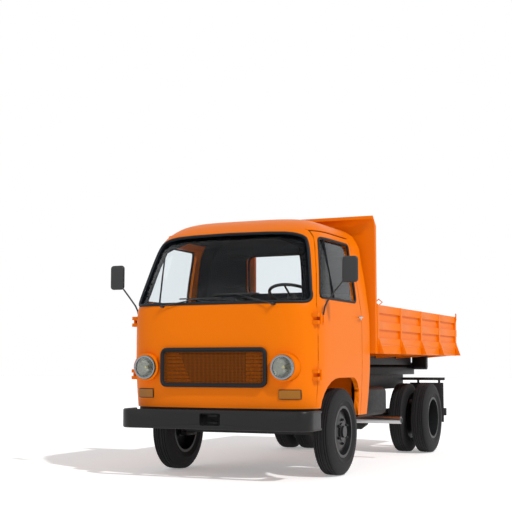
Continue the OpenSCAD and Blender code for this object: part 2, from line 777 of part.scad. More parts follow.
module grille() place() color("orange") {
  front_view(grille_y, grille_y + 40) difference() {
    round_rect(-grille_w, grille_z, grille_w, grille_z + grille_h, 50);
    round_rect(-grille_w + grille_bar, grille_z + grille_bar, grille_w - grille_bar, grille_z + grille_h - grille_bar, 30);
  }
  for (i = [1:grille_slats])
    box([-grille_w + 10, grille_y + 14, grille_z + i * grille_h / (grille_slats + 1) - 5],
      [grille_w - 10, grille_y + 20, grille_z + i * grille_h / (grille_slats + 1) + 5]);
}

module headlamp_bezels() place() color("orange") both() translate([lamp_x, 0, lamp_z]) rotate([-90, 0, 0])
  rotate_extrude() polygon([[lamp_r + fit, lamp_y + 20], [bezel_r, lamp_y + 30], [bezel_r, -765], [lamp_r + fit, -765]]);

module headlamps() place() color("white") both() translate([lamp_x, 0, lamp_z]) {
  rotate([-90, 0, 0]) translate([0, 0, lamp_y + 12]) cylinder(h = -790 - lamp_y, r = lamp_r);
}

module indicators() place() color("orange") both() intersection() {
  cab_skin(-blinker_out, cab_wall);
  box([blinker_x - blinker_w, -1000, blinker_z - blinker_h], [blinker_x + blinker_w, -600, blinker_z + blinker_h]);
}

// Wipers: spindle, blade's two ends, blade's height
wiper_rows = [[-500, -346, 57, 1540], [553, -28, 407, 1572]];
wiper_z = 1478;
module wipers() place() color("dimgray") for (w = wiper_rows) {
  y = -832 + (w[3] - 1500) * 0.446;
  rod([w[0], -790, wiper_z], [w[0], -880, wiper_z], 12);
  rod([w[0], -872, wiper_z], [(w[1] + w[2]) / 2, y - 14, w[3]], 5);
  rod([w[1], y - 10, w[3]], [w[2], y - 10, w[3]], 6);
}

// Doors

module cab_hinges() place() color("orange") both() for (h = hinge_rows) {
  for (z = [h[0], h[1] - 30]) {
    translate([hinge_x, hinge_y, z]) cylinder(h = 30, r = hinge_r);
    box([830, hinge_y - 60, z], [hinge_x - 4, hinge_y - 6, z + 30]);
  }
  translate([hinge_x, hinge_y, h[0]]) cylinder(h = h[1] - h[0], r = hinge_pin_r);
}

module door_hinges() for (h = hinge_rows) difference() {
  union() {
    translate([hinge_x, hinge_y, h[0] + 30.5]) cylinder(h = h[1] - h[0] - 61, r = hinge_r);
    box([850, hinge_y + 8, h[0] + 30.5], [hinge_x - 4, hinge_y + 50, h[1] - 30.5]);
  }
  translate([hinge_x, hinge_y, h[0]]) cylinder(h = 200, r = hinge_pin_r + run_clear);
}

module door() difference() {
  intersection() {
    cab_skin(0, cab_wall);
    side_view(300, 1200) difference() {
      door_side(0);
      arch_side(0);
      window_side(0);
    }
  }
  for (h = hinge_rows) {
    box([850 - 0.3, hinge_y - 30, h[0] + 30.2], [hinge_x + 40, hinge_y + 50.3, h[1] - 30.2]);
    translate([hinge_x, hinge_y, h[0] - 3]) cylinder(h = h[1] - h[0] + 6, r = hinge_r + 4);
  }
  mirror_foot(fit);
}

module door_glass() intersection() {
  cab_skin(glass_in, glass_in + glass_t);
  side_view(300, 1200) window_side(glass_gap);
}

mirror_x = 1135;
mirror_y = -565;
mirror_z = 1770;
// Foot of a mirror's arm on the door, larger by e
module mirror_foot(e) box([876 - e, hinge_y + 50.6 - e, 1322 - e], [905 + 20 * e, hinge_y + 80 + e, 1388 + e]);

module mirror_unit() {
  mirror_foot(0);
  rod([896, hinge_y + 65, 1370], [930, hinge_y + 60, 1500], 8);
  translate([930, hinge_y + 60, 1500]) sphere(11);
  rod([930, hinge_y + 60, 1500], [mirror_x, mirror_y, mirror_z], 8);
  box([mirror_x - 70, mirror_y - 14, mirror_z - 112], [mirror_x + 70, mirror_y + 14, mirror_z + 112]);
}

module door_left() place() color("orange") door();
module door_glass_left() place() color("lightblue") door_glass();
module door_hinges_left() place() color("orange") door_hinges();
module mirror_left() place() color("dimgray") mirror_unit();
module door_right() place() color("orange") mirror([1, 0, 0]) door();
module door_glass_right() place() color("lightblue") mirror([1, 0, 0]) door_glass();
module door_hinges_right() place() color("orange") mirror([1, 0, 0]) door_hinges();
module mirror_right() place() color("dimgray") mirror([1, 0, 0]) mirror_unit();

// Bed

runner_z = bed_z - runner_h;
deck_z = bed_floor_z - 12;
bearer_z = bed_z - 37;
module bed_floor() place() color("orange") {
  box([-bed_w + board_t, bed_front_y, deck_z], [bed_w - board_t, bed_rear_y, bed_floor_z]);
  both() box([bed_w - 70, bed_front_y, bed_z], [bed_w, bed_rear_y, deck_z]);
  for (p = post_ys) {
    y = p - post_w / 2;
    both() front_view(y, y + post_w)
      polygon([[rail_x, bearer_z], [bed_w - 70, bed_z], [bed_w - 70, deck_z], [rail_x, deck_z]]);
    box([-rail_in, y, bearer_z], [rail_in, y + post_w, deck_z]);
  }
}

module bed_runners() place() color("dimgray") {
  both() {
    box([rail_in, 850, runner_z], [rail_x, pivot_y - 60, deck_z]);
    difference() {
      union() {
        bar_x(rail_x + face_gap, pivot_end_x, pivot_y, pivot_z, 42);
        box([rail_x + face_gap, pivot_y - 42, pivot_z], [pivot_end_x, pivot_y + 42, deck_z]);
      }
      bar_x(0, 700, pivot_y, pivot_z, pivot_r + run_clear);
    }
  }
  box([-60, ram_head_y - 70, ram_head_z + ram_ball_r + fit], [60, ram_head_y + 70, deck_z]);
}

// Boards: bottom and top of each raised band, from the floor
band_rows = [[0, 67], [148, 226], [307, 384]];
module board_section() {
  h = bed_top_z - bed_floor_z;
  square([board_t - recess, h]);
  translate([0, deck_z - bed_floor_z]) square([board_t, bed_floor_z - deck_z + 1]);
  for (b = band_rows) translate([0, b[0]]) square([board_t, min(b[1], h) - b[0]]);
}

module bed_sides() place() color("orange") both() difference() {
  union() {
    translate([0, bed_rear_y, bed_floor_z]) translate([bed_w - board_t, 0, 0]) rotate([90, 0, 0])
      linear_extrude(bed_rear_y - bed_front_y) board_section();
    for (y = post_ys) {
      box([bed_w - board_t, y - post_w / 2, deck_z], [bed_w + 6, y + post_w / 2, bed_top_z]);
      front_view(y - 7, y + 7) polygon([[bed_w, bed_z + 2], [bed_w + gusset, bed_z + 2], [bed_w, bed_floor_z + 90]]);
    }
    side_view(bed_w - board_t, bed_w) gate_ear();
  }
  bar_x(bed_w - 100, bed_w + 100, gate_y, gate_z, gate_pin_r + run_clear);
}

gate_z = bed_top_z - 25;
gate_y = bed_rear_y + face_gap + 22;
module gate_ear() {
  translate([gate_y, gate_z]) circle(22);
  translate([bed_rear_y - 20, gate_z - 22]) square([gate_y - bed_rear_y + 20, 44]);
}

module headboard() place() color("orange") {
  difference() {
    box([-bed_w, bed_front_y - head_t, bed_z], [bed_w, bed_front_y, head_z]);
    front_view(bed_front_y - head_t - 10, bed_front_y + 10) round_rect(-head_win_w, back_win_z0 - 40, head_win_w, back_win_z1 + 40, 40);
  }
  side_view(-bed_w, bed_w) polygon([
    [bed_front_y - head_t, head_z], [bed_front_y, head_z], [bed_front_y - visor_l + 8, head_z + visor_h],
    [bed_front_y - visor_l, head_z + visor_h], [bed_front_y - visor_l - 12, head_z + visor_h - 35],
    [bed_front_y - visor_l - 4, head_z + visor_h - 35], [bed_front_y - visor_l + 6, head_z + visor_h - 10]
  ]);
}

module tailgate() place() color("orange") {
  y0 = bed_rear_y + face_gap;
  y1 = y0 + gate_t;
  w = bed_w - 2;
  box([-w, y0, bed_z + 15], [w, y1, gate_z - 30]);
  for (b = band_rows) if (b[0] < 300)
    box([-w, y1, bed_floor_z + b[0]], [w, y1 + recess, min(bed_floor_z + b[1], gate_z - 30)]);
  both() {
    box([bed_w - 110, y0, gate_z - 60], [bed_w - board_t - face_gap, y0 + 44, gate_z]);
    bar_x(bed_w - 110, bed_w + 4, gate_y, gate_z, gate_pin_r);
    side_view(bed_w - 60, bed_w - 46) polygon([[y1, bed_z + 15], [rear_y, bed_z + 15], [y1, bed_floor_z + 90]]);
  }
}

// Lift

ram_l = norm([ram_head_y - ram_foot_y, ram_head_z - ram_foot_z]);
ram_a = atan2(ram_head_z - ram_foot_z, ram_head_y - ram_foot_y);
module along_ram() translate([0, ram_foot_y, ram_foot_z]) rotate([ram_a, 0, 0]) rotate([-90, 0, 0]) children();

module ram_barrel() place() color("gray") along_ram() difference() {
  union() {
    translate([0, 0, 60]) cylinder(h = ram_l - 180, r = ram_r);
    translate([-ram_eye_w / 2, -30, 0]) cube([ram_eye_w, 60, 70]);
    rotate([0, 90, 0]) cylinder(h = ram_eye_w, r = 34, center = true);
  }
  rotate([0, 90, 0]) cylinder(h = 100, r = ram_pin_r + run_clear, center = true);
  translate([0, 0, 100]) cylinder(h = ram_l, r = ram_rod_r + run_clear);
}

module ram_rod() place() color("silver") along_ram() {
  translate([0, 0, 110]) cylinder(h = ram_l - 110, r = ram_rod_r);
  translate([0, 0, ram_l]) sphere(ram_ball_r);
}

frame_rails();
frame_crossmembers();
subframe();
front_bumper();
tow_jaw();
tow_hitch();
front_axle();
rear_axle();
front_springs();
rear_springs();
engine();
propshaft();
fuel_tank();
battery_box();
exhaust_pipe();
mudflaps();
tail_lamps();
cab_front();
cab_roof();
cab_rear();
cab_floor();
windscreen();
rear_window();
dashboard();
steering_wheel();
seats();
grille();
headlamp_bezels();
headlamps();
indicators();
wipers();
cab_hinges();
door_left();
door_glass_left();
door_hinges_left();
mirror_left();
door_right();
door_glass_right();
door_hinges_right();
mirror_right();
knuckle_left();
knuckle_right();
tyre_front_left();
wheel_front_left();
tyre_front_right();
wheel_front_right();
tyres_rear_left();
wheels_rear_left();
tyres_rear_right();
wheels_rear_right();
bed_floor();
bed_runners();
bed_sides();
headboard();
tailgate();
ram_barrel();
ram_rod();
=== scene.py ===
import math
import bpy
import numpy as np
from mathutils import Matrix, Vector


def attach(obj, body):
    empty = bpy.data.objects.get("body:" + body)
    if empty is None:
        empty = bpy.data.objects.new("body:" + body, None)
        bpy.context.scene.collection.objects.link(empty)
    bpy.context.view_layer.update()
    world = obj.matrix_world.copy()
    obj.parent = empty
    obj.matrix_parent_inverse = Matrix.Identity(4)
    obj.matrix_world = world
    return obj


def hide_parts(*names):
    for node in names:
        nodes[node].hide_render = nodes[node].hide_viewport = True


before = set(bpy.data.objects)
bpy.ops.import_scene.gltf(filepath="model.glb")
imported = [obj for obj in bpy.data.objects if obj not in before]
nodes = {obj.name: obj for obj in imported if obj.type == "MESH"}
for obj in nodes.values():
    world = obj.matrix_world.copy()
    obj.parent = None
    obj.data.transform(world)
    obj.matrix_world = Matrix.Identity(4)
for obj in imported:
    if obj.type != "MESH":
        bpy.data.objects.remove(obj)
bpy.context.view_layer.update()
frontAxleY = -1.510  # the front axle in the part's frame, metres
print("frame loaded:", len(nodes), "nodes")


def toLinear(hexColour):
    def channel(v):
        return v / 12.92 if v <= 0.04045 else ((v + 0.055) / 1.055) ** 2.4
    return tuple(channel(int(hexColour[i:i + 2], 16) / 255) for i in (1, 3, 5)) + (1.0,)


def addNode(mat, kind, settings=None, links=None):
    node = mat.node_tree.nodes.new(kind)
    for key, value in (settings or {}).items():
        if key in node.inputs:
            node.inputs[key].default_value = value
        else:
            setattr(node, key, value)
    for key, source in (links or {}).items():
        mat.node_tree.links.new(source, node.inputs[key])
    return node


def newMaterial(name, colour, **sockets):
    mat = bpy.data.materials.new(name)
    mat.use_nodes = True
    shader = mat.node_tree.nodes["Principled BSDF"]
    shader.inputs["Base Color"].default_value = toLinear(colour)
    for key, value in sockets.items():
        shader.inputs[key.replace("_", " ")].default_value = value
    return mat


def grain(mat, sizeMm, bump, roughLow, roughHigh):
    # fine unevenness of a moulded, cast or sprayed surface, drawn coarse enough to show
    tree = mat.node_tree
    shader = tree.nodes["Principled BSDF"]
    place = addNode(mat, "ShaderNodeTexCoord")
    noise = addNode(mat, "ShaderNodeTexNoise", {"Scale": 1000 / sizeMm, "Detail": 3.0},
                    {"Vector": place.outputs["Object"]})
    roughness = addNode(mat, "ShaderNodeMapRange", {"To Min": roughLow, "To Max": roughHigh},
                        {"Value": noise.outputs["Fac"]})
    tree.links.new(roughness.outputs["Result"], shader.inputs["Roughness"])
    if bump:
        lift = addNode(mat, "ShaderNodeBump", {"Strength": bump, "Distance": 0.001}, {"Height": noise.outputs["Fac"]})
        tree.links.new(lift.outputs["Normal"], shader.inputs["Normal"])
    return mat


# stoved orange enamel: a flat colour under a thin coat
enamel = newMaterial("orange_enamel", "#EA7400", Roughness=0.42, Coat_Weight=0.06, Coat_Roughness=0.06,
                     Specular_IOR_Level=0.06)
# black chassis paint, brushed on and dull
chassisPaint = grain(newMaterial("chassis_paint", "#0C0D0E", Roughness=0.5, Specular_IOR_Level=0.2),
                     30, 0.0, 0.42, 0.62)
# dark grey bumper paint
bumperPaint = grain(newMaterial("bumper_paint", "#0B0B0B", Roughness=0.4, Specular_IOR_Level=0.3),
                    40, 0.0, 0.32, 0.42)
# sprayed black on the pressed wheels
wheelPaint = newMaterial("wheel_paint", "#141517", Roughness=0.42)
# vulcanised rubber, dull with a little dust
tyreRubber = grain(newMaterial("tyre_rubber", "#1A1A1C", Roughness=0.75, Specular_IOR_Level=0.3),
                   12, 0.15, 0.68, 0.88)
# moulded rubber of gaskets and flaps
sealRubber = newMaterial("seal_rubber", "#10161B", Roughness=0.6, Specular_IOR_Level=0.25)
flapRubber = grain(newMaterial("flap_rubber", "#222224", Roughness=0.7), 10, 0.1, 0.62, 0.8)
# clear float glass: thin and nearly colourless
floatGlass = newMaterial("float_glass", "#F1F5F7", Roughness=0.0, Transmission_Weight=1.0, IOR=1.15)
# pressed glass of the lamps
lampGlass = newMaterial("lamp_glass", "#F4F6F6", Roughness=0.04, Transmission_Weight=1.0, IOR=1.45)
# chromed steel rings
chrome = newMaterial("chromed_steel", "#878E93", Metallic=1.0, Roughness=0.1)
# bright drawn steel
brightSteel = newMaterial("drawn_steel", "#C2C4C6", Metallic=1.0, Roughness=0.28)
# amber and red moulded acrylic
amberLens = newMaterial("amber_acrylic", "#9A6210", Roughness=0.2, Coat_Weight=0.15, Specular_IOR_Level=0.2)
redLens = newMaterial("red_acrylic", "#B0131A", Roughness=0.14, Coat_Weight=0.6)
# cast iron with its sand-cast skin
castIron = grain(newMaterial("cast_iron", "#1C1D1D", Roughness=0.65), 8, 0.25, 0.55, 0.8)
# grained moulded plastic of the cab's inside and mirrors
blackPlastic = grain(newMaterial("moulded_plastic", "#1C1D1F", Roughness=0.5), 5, 0.1, 0.42, 0.58)
dashPlastic = grain(newMaterial("dash_plastic", "#222A33", Roughness=0.55), 5, 0.1, 0.48, 0.64)
# seat vinyl, lightly grained
seatVinyl = grain(newMaterial("seat_vinyl", "#232931", Roughness=0.5), 6, 0.2, 0.42, 0.6)
# silvered mirror glass
mirrorGlass = newMaterial("mirror_glass", "#D4D8DA", Metallic=1.0, Roughness=0.03)
# brown-black painted shade on the grille's frame and the radiator behind it, the brown of orange sheet in shade
shadedRadiatorPaint = newMaterial("radiator_painted_shade", "#1F0F05", Roughness=0.8)
print("materials ready")

nodeFinish = {
    enamel: "cab_front cab_roof cab_rear cab_floor cab_hinges door_left door_right door_hinges_left door_hinges_right "
            "headlamp_bezels bed_floor bed_sides headboard tailgate",
    shadedRadiatorPaint: "grille",
    chassisPaint: "frame_rails frame_crossmembers subframe tow_jaw tow_hitch front_springs rear_springs propshaft "
                  "fuel_tank battery_box bed_runners ram_barrel",
    bumperPaint: "front_bumper",
    wheelPaint: "wheel_front_left wheel_front_right wheels_rear_left wheels_rear_right",
    castIron: "front_axle rear_axle engine knuckle_left knuckle_right",
    tyreRubber: "tyre_front_left tyre_front_right tyres_rear_left tyres_rear_right",
    flapRubber: "mudflaps",
    floatGlass: "windscreen rear_window door_glass_left door_glass_right",
    lampGlass: "headlamps",
    amberLens: "indicators",
    redLens: "tail_lamps",
    brightSteel: "exhaust_pipe ram_rod",
    blackPlastic: "mirror_left mirror_right wipers steering_wheel",
    dashPlastic: "dashboard",
    seatVinyl: "seats",
}
for finish, names in nodeFinish.items():
    for name in names.split():
        obj = nodes[name]
        obj.data.materials.clear()
        obj.data.materials.append(finish)

# soft pressed edges on the plain CAD pieces: width in metres
meshSizes = {"weld": 0.00002, "bevelOver": 35, "creaseOver": 32}
edgeSizes = {"front_bumper": 0.006, "fuel_tank": 0.006, "battery_box": 0.006, "engine": 0.012, "bed_sides": 0.003,
             "headboard": 0.003, "tailgate": 0.003, "bed_floor": 0.003, "frame_rails": 0.003, "subframe": 0.004,
             "mudflaps": 0.002, "tow_jaw": 0.003, "tow_hitch": 0.003, "bed_runners": 0.003, "front_axle": 0.006,
             "rear_axle": 0.004, "knuckle_left": 0.003, "knuckle_right": 0.003}
for name, obj in nodes.items():
    for face in obj.data.polygons:
        face.use_smooth = True
    weld = obj.modifiers.new("weld", "WELD")
    weld.merge_threshold = meshSizes["weld"]
    if name in edgeSizes:
        bevel = obj.modifiers.new("edges", "BEVEL")
        bevel.width = edgeSizes[name]
        bevel.segments = 2
        bevel.limit_method = "ANGLE"
        bevel.angle_limit = math.radians(meshSizes["bevelOver"])
    split = obj.modifiers.new("crease", "EDGE_SPLIT")
    split.split_angle = math.radians(meshSizes["creaseOver"])
print("CAD pieces finished")

# the cab's sections: height, half width, front, rear, metres from the front axle
cabForm = {"rows": [(0.51, 0.872, -0.835, 0.655), (0.76, 0.888, -0.852, 0.682), (1.0, 0.895, -0.86, 0.697),
                    (1.25, 0.895, -0.86, 0.7), (1.44, 0.89, -0.853, 0.7), (1.49, 0.884, -0.838, 0.698),
                    (1.75, 0.852, -0.722, 0.69), (1.98, 0.814, -0.619, 0.684), (2.07, 0.802, -0.56, 0.682),
                    (2.135, 0.772, -0.508, 0.682), (2.185, 0.742, -0.435, 0.68), (2.225, 0.684, -0.36, 0.656),
                    (2.255, 0.586, -0.27, 0.59), (2.275, 0.436, -0.135, 0.46), (2.284, 0.27, -0.02, 0.34)],
           "power": 4.5, "nose": 0.56}
rowTable = np.array(cabForm["rows"])
bothSides = (("left", 1), ("right", -1))


def cabSection(z):
    # monotone cubic through the rows, so the skin has no creases between them
    zs = rowTable[:, 0]
    z = min(max(z, zs[0]), zs[-1])
    i = min(int(np.searchsorted(zs, z, side="right")) - 1, len(zs) - 2)
    t = (z - zs[i]) / (zs[i + 1] - zs[i])
    out = []
    for k in (1, 2, 3):
        v = rowTable[:, k]
        d = np.diff(v) / np.diff(zs)

        def slope(j):
            if j == 0 or j == len(zs) - 1:
                return d[min(j, len(d) - 1)]
            return 0.0 if d[j - 1] * d[j] <= 0 else 2 * d[j - 1] * d[j] / (d[j - 1] + d[j])
        h = zs[i + 1] - zs[i]
        out.append(float(v[i] * (2 * t ** 3 - 3 * t ** 2 + 1) + v[i + 1] * (3 * t ** 2 - 2 * t ** 3)
                         + h * (slope(i) * (t ** 3 - 2 * t ** 2 + t) + slope(i + 1) * (t ** 3 - t ** 2))))
    return out


def cabSideX(y, z, inset=0.0):
    # half width of the cab's skin at a place along it
    w, f, r = cabSection(z)
    w, f = w - inset, f + inset
    c = f + cabForm["nose"]
    if y >= c:
        return w
    s = min(1.0, (c - y) / (c - f))
    return w * (1 - s ** cabForm["power"]) ** (1 / cabForm["power"])


def cabFrontY(x, z, inset=0.0):
    w, f, r = cabSection(z)
    w, f = w - inset, f + inset
    c = f + cabForm["nose"]
    s = min(1.0, abs(x) / w)
    return c - (c - f) * (1 - s ** cabForm["power"]) ** (1 / cabForm["power"])


def atCab(x, y, z):
    return (x, y + frontAxleY, z)


def finishPiece(obj, name, mat, body, node=None, angle=35):
    obj.name = name
    obj.data.materials.clear()
    obj.data.materials.append(mat)
    bpy.ops.object.select_all(action="DESELECT")
    obj.select_set(True)
    bpy.context.view_layer.objects.active = obj
    bpy.ops.object.transform_apply(location=True, rotation=True, scale=True)
    bpy.ops.object.shade_smooth_by_angle(angle=math.radians(angle))
    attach(obj, body)
    if node:
        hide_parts(*node.split())
    return obj


def newObject(name, data):
    # linked to the scene, active, and the only one selected
    bpy.ops.object.select_all(action="DESELECT")
    obj = bpy.data.objects.new(name, data)
    bpy.context.scene.collection.objects.link(obj)
    obj.select_set(True)
    bpy.context.view_layer.objects.active = obj
    return obj


def sheetPiece(name, places, faces, thickness, offset, mat):
    # flat or bent sheet metal, given its thickness
    mesh = bpy.data.meshes.new(name)
    mesh.from_pydata(places, [], faces)
    obj = newObject(name, mesh)
    thick = obj.modifiers.new("sheet", "SOLIDIFY")
    thick.thickness, thick.offset = thickness, offset
    bpy.ops.object.modifier_apply(modifier="sheet")
    return finishPiece(obj, name, mat, "chassis")


def bead(name, points, radius, mat, body, closed=False):
    # a rubber or metal bead laid along points, turned into a mesh
    curve = bpy.data.curves.new(name, "CURVE")
    curve.dimensions = "3D"
    curve.bevel_depth = radius
    curve.bevel_resolution = 3
    curve.use_fill_caps = True
    line = curve.splines.new("POLY")
    line.points.add(len(points) - 1)
    for point, place in zip(line.points, points):
        point.co = (*place, 1)
    line.use_cyclic_u = closed
    newObject(name, curve)
    bpy.ops.object.convert(target="MESH")
    return finishPiece(bpy.context.object, name, mat, body, angle=60)


def joinPieces(objs):
    bpy.ops.object.select_all(action="DESELECT")
    for o in objs:
        o.select_set(True)
    bpy.context.view_layer.objects.active = objs[0]
    bpy.ops.object.join()
    return bpy.context.object


def roundCorners(points, radius, steps=5):
    # each corner of a closed line becomes a short curve
    out = []
    count = len(points)
    for i in range(count):
        p, a, b = (Vector(points[k % count]) for k in (i, i - 1, i + 1))
        u, v = (a - p).normalized(), (b - p).normalized()
        cut = min(radius, (a - p).length * 0.45, (b - p).length * 0.45)
        start, end = p + u * cut, p + v * cut
        for k in range(steps + 1):
            t = k / steps
            out.append(start * (1 - t) ** 2 + p * 2 * t * (1 - t) + end * t ** 2)
    return out


def spread(points, step):
    # more points along a closed line, about one each step
    out = []
    for i, p in enumerate(points):
        a, b = Vector(p), Vector(points[(i + 1) % len(points)])
        n = max(1, int((b - a).length / step))
        out += [a.lerp(b, k / n) for k in range(n)]
    return out


# cab panels: copies of the CAD panels, subdivided and laid on the smooth skin, lined inside
panelSizes = {"edge": 0.055, "rearRound": 0.045, "crown": 0.014, "crownFrom": 2.2, "crownOver": 0.07,
              "nearNose": 0.975, "nearRound": 0.93, "nearFlat": 0.003}


def onSkin(p):
    # where a point of the faceted outside lies on the smooth skin, None for other points
    z = p.z
    w, f, r = (float(np.interp(z, rowTable[:, 0], rowTable[:, k])) for k in (1, 2, 3))
    sw, sf, sr = cabSection(z)
    y = p.y - frontAxleY
    c, power = f + min(cabForm["nose"], (r - f) / 2), cabForm["power"]
    if y < c:
        u, v = abs(p.x) / w, (c - y) / (c - f)
        size = (u ** power + v ** power) ** (1 / power)
        if size < panelSizes["nearNose"]:
            return None
        sc = sf + min(cabForm["nose"], (sr - sf) / 2)
        return Vector((p.x / size * sw / w, frontAxleY + sc - (c - y) / size * (sc - sf) / (c - f), z))
    k = panelSizes["rearRound"]
    if abs(p.x) > w - k and y > r - k:
        dx, dy = abs(p.x) - (w - k), y - (r - k)
        size = math.hypot(dx, dy)
        if size < k * panelSizes["nearRound"]:
            return None
        return Vector((math.copysign(sw - k + dx / size * k, p.x), frontAxleY + sr - k + dy / size * k, z))
    if abs(p.x) > w - panelSizes["nearFlat"]:
        return Vector((math.copysign(sw, p.x), p.y, z))
    if y > r - panelSizes["nearFlat"]:
        return Vector((p.x, frontAxleY + sr, z))
    return None


def skinSize(p):
    # 1 on the skin, more outside it
    w, f, r = cabSection(p.z)
    y = p.y - frontAxleY
    c, power = f + min(cabForm["nose"], (r - f) / 2), cabForm["power"]
    if y < c:
        return ((abs(p.x) / w) ** power + ((c - y) / (c - f)) ** power) ** (1 / power)
    k = panelSizes["rearRound"]
    dx, dy = abs(p.x) - (w - k), y - (r - k)
    if dx > 0 and dy > 0:
        return 1 + math.hypot(dx, dy) - k
    return max(1 + abs(p.x) - w, 1 + y - r)


def skinNormals(mesh):
    # corner normals from the skin itself, so the pressed sheet shades evenly
    step = 0.0008
    pushes = [Vector(v) * step for v in ((1, 0, 0), (0, 1, 0), (0, 0, 1))]
    vertNormal = {}
    for vert in mesh.vertices:
        if onSkin(vert.co) is not None:
            slope = Vector([skinSize(vert.co + d) - skinSize(vert.co - d) for d in pushes])
            if slope.length > 0:
                vertNormal[vert.index] = slope.normalized()
    corner = [Vector(n.vector) for n in mesh.corner_normals]
    for face in mesh.polygons:
        own = [vertNormal.get(i) for i in face.vertices]
        if all(n is not None and n.dot(face.normal) > 0.7 for n in own):
            for loop, n in zip(face.loop_indices, own):
                corner[loop] = n
    mesh.normals_split_custom_set(corner)


# near-black painted shade on the nose panel's inner faces round the screen, where the sun would light them
revealShade = newMaterial("reveal_painted_shade", "#06090D", Roughness=0.9, Specular_IOR_Level=0.05)
# dark vinyl inside the cab; the doors' window frames stay bare
lining = {"waist": 1.49, "ceiling": 2.0, "middle": 0.1}
liningVinyl = grain(newMaterial("lining_vinyl", "#111A26", Roughness=0.6), 6, 0.1, 0.5, 0.7)


def smoothPanel(node, name, body):
    obj = newObject(name, nodes[node].data.copy())
    bpy.ops.object.mode_set(mode="EDIT")
    bpy.ops.mesh.select_all(action="SELECT")
    bpy.ops.mesh.remove_doubles(threshold=0.00005)
    bpy.ops.mesh.select_mode(type="EDGE")
    for passCount in range(3):
        bpy.ops.object.mode_set(mode="OBJECT")
        for edge in obj.data.edges:
            a, b = (obj.data.vertices[i].co for i in edge.vertices)
            edge.select = (a - b).length > panelSizes["edge"] and onSkin(a) is not None and onSkin(b) is not None
        for vert in obj.data.vertices:
            vert.select = False
        for face in obj.data.polygons:
            face.select = False
        bpy.ops.object.mode_set(mode="EDIT")
        bpy.ops.mesh.subdivide(number_cuts=1)
        bpy.ops.mesh.select_all(action="SELECT")
        bpy.ops.mesh.quads_convert_to_tris(quad_method="SHORTEST_DIAGONAL", ngon_method="BEAUTY")
    bpy.ops.object.mode_set(mode="OBJECT")
    for vert in obj.data.vertices:
        place = onSkin(vert.co)
        if place is not None:
            vert.co = place
        # the roof's sheet is crowned a little over its flat middle
        rise = min(1.0, max(0.0, (vert.co.z - panelSizes["crownFrom"]) / panelSizes["crownOver"]))
        vert.co.z += panelSizes["crown"] * rise
    finishPiece(obj, name, enamel, body, node, angle=30)
    skinNormals(obj.data)
    obj.data.materials.append(liningVinyl)
    obj.data.materials.append(revealShade)
    for face in obj.data.polygons:
        mid = face.center
        outward = Vector((mid.x, mid.y - frontAxleY + lining["middle"], 0)).normalized()
        inside = any(onSkin(obj.data.vertices[i].co) is None for i in face.vertices)
        facesIn = face.normal.dot(outward) < -0.6 or (mid.z > lining["ceiling"] and face.normal.z < -0.5)
        bareFrame = name.startswith("door") and mid.z > lining["waist"]
        # inner faces of the nose panel above the waist get the near-black painted shade
        reveal = name == "nose_panel" and mid.z > lining["waist"]
        if inside and (facesIn and not bareFrame or reveal):
            face.material_index = 2 if reveal else 1
    return obj


for node, name, body in (("cab_front", "nose_panel", "chassis"), ("cab_roof", "roof_panel", "chassis"),
                         ("cab_rear", "back_panel", "chassis"), ("door_left", "door_skin_left", "door_left"),
                         ("door_right", "door_skin_right", "door_right")):
    smoothPanel(node, name, body)
print("cab panels smoothed")

# rubber gaskets round the glass: places in metres from the front axle, (y, z) on the sides
gasketSizes = {"sideWindow": [(-0.5692, 1.54), (-0.3706, 2.074), (0.306, 2.074), (0.312, 1.54)], "sideRound": 0.045,
               "sideRadius": 0.012, "ventBar": [(-0.243, 1.545), (-0.289, 2.069)], "ventRadius": 0.009,
               "screenFoot": 1.496, "screenTop": 2.124, "footRound": 0.095, "topRound": 0.066, "screenRadius": 0.014,
               "screenEdge": -0.698, "rake": 0.372, "waist": 1.468,
               "rearHalf": 0.375, "rearFoot": 1.662, "rearTop": 2.052, "rearRound": 0.08, "rearRadius": 0.011}
windowCorners = [Vector(corner) for corner in gasketSizes["sideWindow"]]
windowLine = spread(roundCorners(windowCorners, gasketSizes["sideRound"]), 0.04)
for side, sign in bothSides:
    path = [atCab(sign * (cabSideX(p.x, p.y) - 0.001), p.x, p.y) for p in windowLine]
    bead("window_gasket_" + side, path, gasketSizes["sideRadius"], sealRubber, "door_" + side, closed=True)
    # quarter-light divider
    bar = [atCab(sign * (cabSideX(y, z) - 0.006), y, z) for y, z in gasketSizes["ventBar"]]
    bead("vent_bar_" + side, bar, gasketSizes["ventRadius"], sealRubber, "door_" + side)


def screenEdgeY(z):
    return gasketSizes["screenEdge"] + (z - gasketSizes["waist"]) * gasketSizes["rake"]


# half of the screen's outline: top, upper corner, side, lower corner, foot
foot, top = gasketSizes["screenFoot"], gasketSizes["screenTop"]
footRound, topRound = gasketSizes["footRound"], gasketSizes["topRound"]
topMid = screenEdgeY(top - topRound) - topRound
footMid = screenEdgeY(foot + footRound) - footRound
leftLine = [(x, cabFrontY(x, top), top) for x in np.linspace(0, cabSideX(topMid, top), 30)]
for a in np.linspace(0, math.pi / 2, 9)[1:]:
    y, z = topMid + topRound * math.sin(a), top - topRound + topRound * math.cos(a)
    leftLine.append((cabSideX(y, z), y, z))
for z in np.linspace(top - topRound, foot + footRound, 14)[1:-1]:
    leftLine.append((cabSideX(screenEdgeY(z), z), screenEdgeY(z), z))
for a in np.linspace(math.pi / 2, 0, 9):
    y, z = footMid + footRound * math.sin(a), foot + footRound - footRound * math.cos(a)
    leftLine.append((cabSideX(y, z), y, z))
leftLine += [(x, cabFrontY(x, foot), foot) for x in np.linspace(cabSideX(footMid, foot), 0, 30)[1:]]
rightLine = [(-x, y, z) for x, y, z in reversed(leftLine[1:-1])]
screenPath = [atCab(x, y, z) for x, y, z in leftLine + rightLine]
bead("screen_gasket", screenPath, gasketSizes["screenRadius"], sealRubber, "chassis", closed=True)


